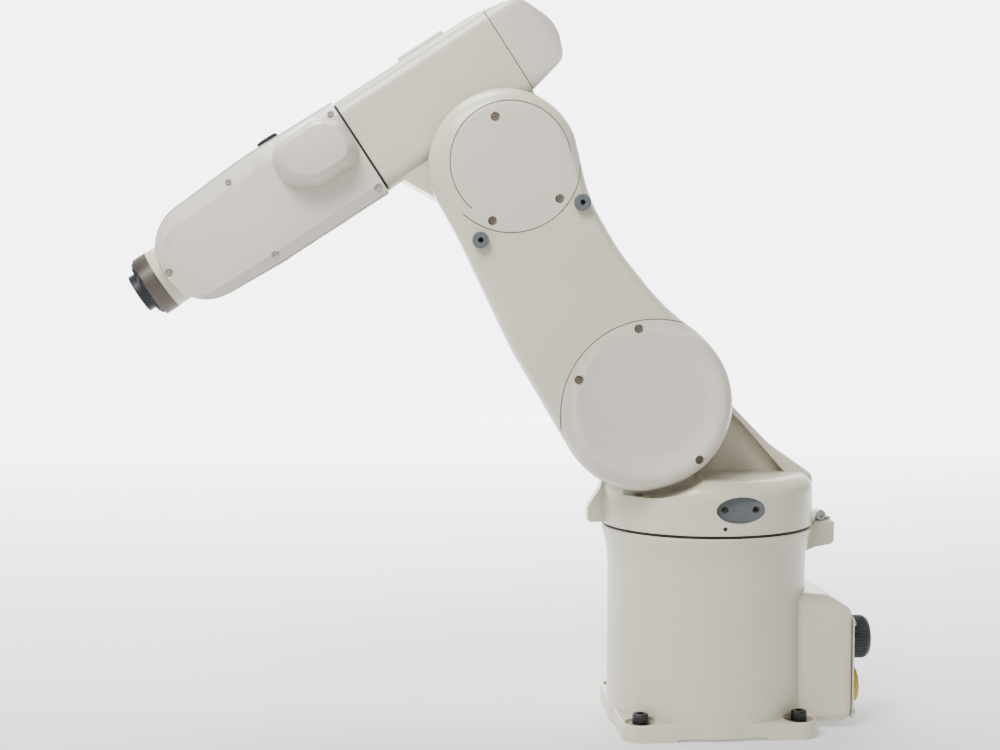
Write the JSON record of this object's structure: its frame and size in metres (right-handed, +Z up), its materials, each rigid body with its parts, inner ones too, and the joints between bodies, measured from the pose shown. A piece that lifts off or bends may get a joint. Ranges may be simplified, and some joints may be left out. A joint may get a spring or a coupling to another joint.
{
  "type": "six-axis articulated robot arm",
  "caption": "Benchtop articulated robot arm: flared drum base, offset shoulder tower, waisted upper arm with round covers, forearm and rolling, bending wrist with tool flange.",
  "frame": {"origin": "first joint's axis on the mounting face", "axes": "+X to the robot's front, +Y to its left, +Z up along the first joint's axis"},
  "size_m": [0.748, 0.216, 0.7286],
  "materials": {
    "paint_cream": "satin powder coat",
    "paint_cover": "satin powder coat",
    "dark_steel": "black oxide",
    "ring_steel": "turned, darkened",
    "bright_steel": "bright",
    "bronze_screw": "dull",
    "grey_fitting": "satin",
    "black_plastic": "matte",
    "grey_plastic": "matte",
    "yellow_plastic": "satin",
    "black_rubber": "matte",
    "motor_black": "satin",
    "drive_steel": "ground",
    "drive_aluminium": "machined"
  },
  "bodies": {
    "base": {"base_casting": "paint_cream", "base_bolts": "dark_steel", "base_washers": "bright_steel", "connector_panel": "paint_cover", "panel_screws": "bright_steel", "main_connector": "black_plastic", "signal_connector": "grey_plastic", "signal_connector_band": "yellow_plastic", "stop_screws": "bright_steel", "j1_motor": "motor_black", "j1_reducer": "drive_steel", "j1_bearing_outer": "drive_steel", "j1_seal": "black_rubber"},
    "turret": {"turret_casting": "paint_cream", "port_plate": "grey_fitting", "vent_plug": "dark_steel", "stop_pad": "grey_fitting", "shoulder_motor_cover": "paint_cover", "shoulder_motor_cover_screws": "bright_steel", "j1_bearing_inner": "drive_steel", "j1_output_flange": "drive_aluminium", "j2_motor": "motor_black", "j2_reducer": "drive_steel"},
    "upper_arm": {"upper_arm_casting": "paint_cream", "shoulder_cover": "paint_cover", "elbow_cover": "paint_cover", "shoulder_cover_screws": "bronze_screw", "elbow_cover_screws": "bronze_screw", "tapped_bosses": "grey_fitting", "j2_output_flange": "drive_aluminium", "j3_reducer": "drive_steel", "j3_motor": "motor_black", "arm_harness": "black_plastic"},
    "forearm": {"forearm_casting": "paint_cream", "forearm_rear_cover": "paint_cover", "rear_cover_screws": "bright_steel", "forearm_top_cover": "paint_cover", "j3_output_flange": "drive_aluminium", "j4_motor": "motor_black", "j4_reducer": "drive_steel", "j4_seal": "black_rubber"},
    "wrist_roll": {"wrist_housing": "paint_cream", "wrist_left_cover": "paint_cover", "wrist_right_cover": "paint_cover", "wrist_cover_screws": "bright_steel", "wrist_port_base": "black_plastic", "wrist_port_cap": "black_plastic", "j4_output_flange": "drive_aluminium", "j5_motor": "motor_black", "j5_motor_pulley": "drive_aluminium", "j5_belt": "black_rubber", "j5_pulley": "drive_aluminium", "j5_reducer": "drive_steel", "j5_bearing": "drive_steel", "j6_motor": "motor_black"},
    "wrist_pitch": {"wrist_pitch_casting": "paint_cream", "j5_journal": "bright_steel", "j6_reducer": "drive_steel", "wrist_end_ring": "ring_steel"},
    "tool_flange": {"tool_flange": "dark_steel"}
  },
  "joints": [
    {"name": "j1_base_turn", "type": "hinge", "parent": "base", "child": "turret", "pos_m": [0, 0, 0.205], "axis": [0, 0, 1], "range_deg": [-170, 170]},
    {"name": "j2_shoulder", "type": "hinge", "parent": "turret", "child": "upper_arm", "pos_m": [0.075, 0, 0.335], "axis": [0, 1, 0], "range_deg": [-130, 72]},
    {"name": "j3_elbow", "type": "hinge", "parent": "upper_arm", "child": "forearm", "pos_m": [0.21, 0, 0.56883], "axis": [0, -1, 0], "range_deg": [-65, 205]},
    {"name": "j4_forearm_roll", "type": "hinge", "parent": "forearm", "child": "wrist_roll", "pos_m": [0.35127, 0, 0.5844], "axis": [-0.8387, 0, 0.5446], "range_deg": [-190, 190]},
    {"name": "j5_wrist_bend", "type": "hinge", "parent": "wrist_roll", "child": "wrist_pitch", "pos_m": [0.50643, 0, 0.48364], "axis": [0, 1, 0], "range_deg": [-120, 120]},
    {"name": "j6_flange_turn", "type": "hinge", "parent": "wrist_pitch", "child": "tool_flange", "pos_m": [0.56933, 0, 0.44279], "axis": [0.8387, 0, -0.5446], "range_deg": [-360, 360]}
  ]
}
